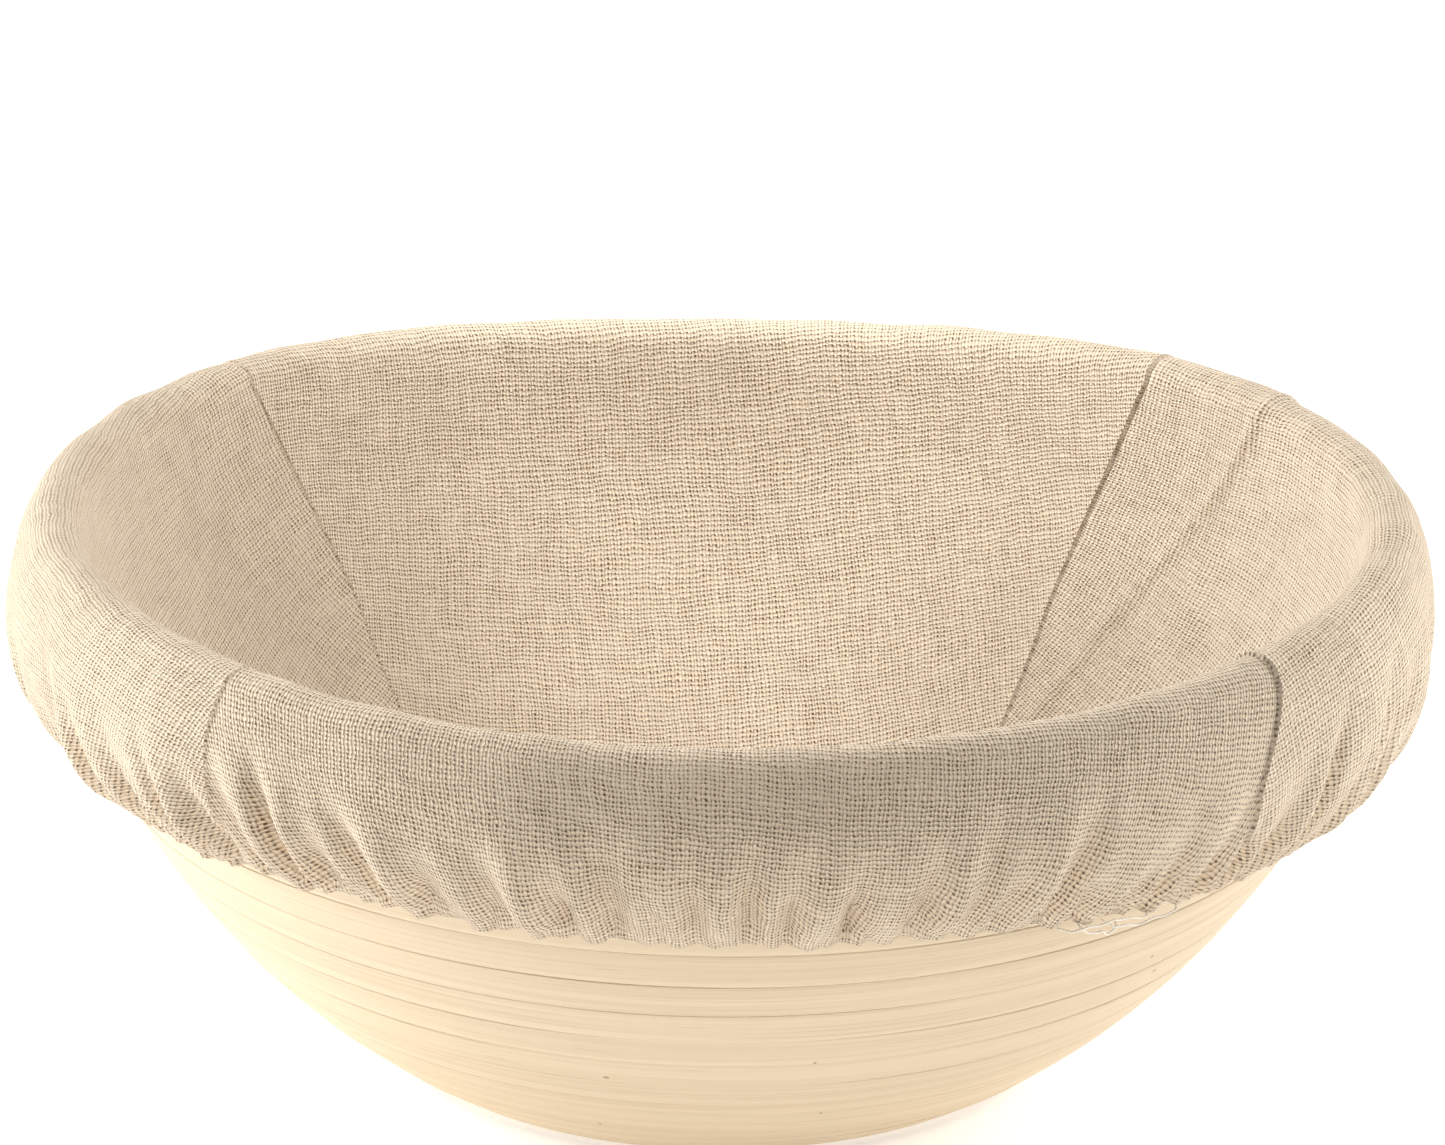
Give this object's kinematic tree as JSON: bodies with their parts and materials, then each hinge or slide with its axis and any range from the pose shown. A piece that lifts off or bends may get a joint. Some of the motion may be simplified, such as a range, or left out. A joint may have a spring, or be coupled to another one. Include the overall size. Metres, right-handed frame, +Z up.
{
  "type": "banneton basket",
  "caption": "Round proofing basket of coiled, pinned cane with a lift-out linen liner gathered over the rim by an elastic hem.",
  "frame": {"origin": "centre of the base, on the surface that the basket stands on", "axes": "+Z up, out of the basket's mouth; -Y towards the front, where the climb of the coil is level; +X to the right"},
  "size_m": [0.2402, 0.2402, 0.0975],
  "materials": {
    "cane": "peeled, smooth and dry",
    "linen": "open plain weave, unbleached",
    "wire": "drawn wire",
    "elastic": "covered cord"
  },
  "bodies": {
    "basket": {"floor_cane": "cane", "heel_cane": "cane", "lower_wall_cane": "cane", "middle_wall_cane": "cane", "upper_wall_cane": "cane", "rim_cane": "cane", "floor_pin_01": "wire", "floor_pin_02": "wire", "floor_pin_03": "wire", "floor_pin_04": "wire", "floor_pin_05": "wire", "floor_pin_06": "wire", "wall_pin_01": "wire", "wall_pin_02": "wire", "wall_pin_03": "wire", "wall_pin_04": "wire", "wall_pin_05": "wire", "wall_pin_06": "wire", "wall_pin_07": "wire", "wall_pin_08": "wire", "wall_pin_09": "wire", "wall_pin_10": "wire", "wall_pin_11": "wire", "wall_pin_12": "wire", "wall_pin_13": "wire", "wall_pin_14": "wire", "wall_pin_15": "wire", "wall_pin_16": "wire", "wall_pin_17": "wire", "wall_pin_18": "wire", "wall_pin_19": "wire", "wall_pin_20": "wire", "wall_pin_21": "wire", "rim_pin_01": "wire", "rim_pin_02": "wire", "rim_pin_03": "wire"},
    "liner": {"liner_bowl": "linen", "liner_skirt": "linen", "hem_elastic": "elastic", "back_right_dart": "linen", "back_left_dart": "linen", "front_left_dart": "linen", "front_right_dart": "linen"}
  },
  "joints": [
    {"name": "liner_lift", "type": "slide", "parent": "basket", "child": "liner", "axis": [0, 0, 1], "range_m": [0, 0.11], "deforming": ["liner_skirt", "hem_elastic"]}
  ]
}
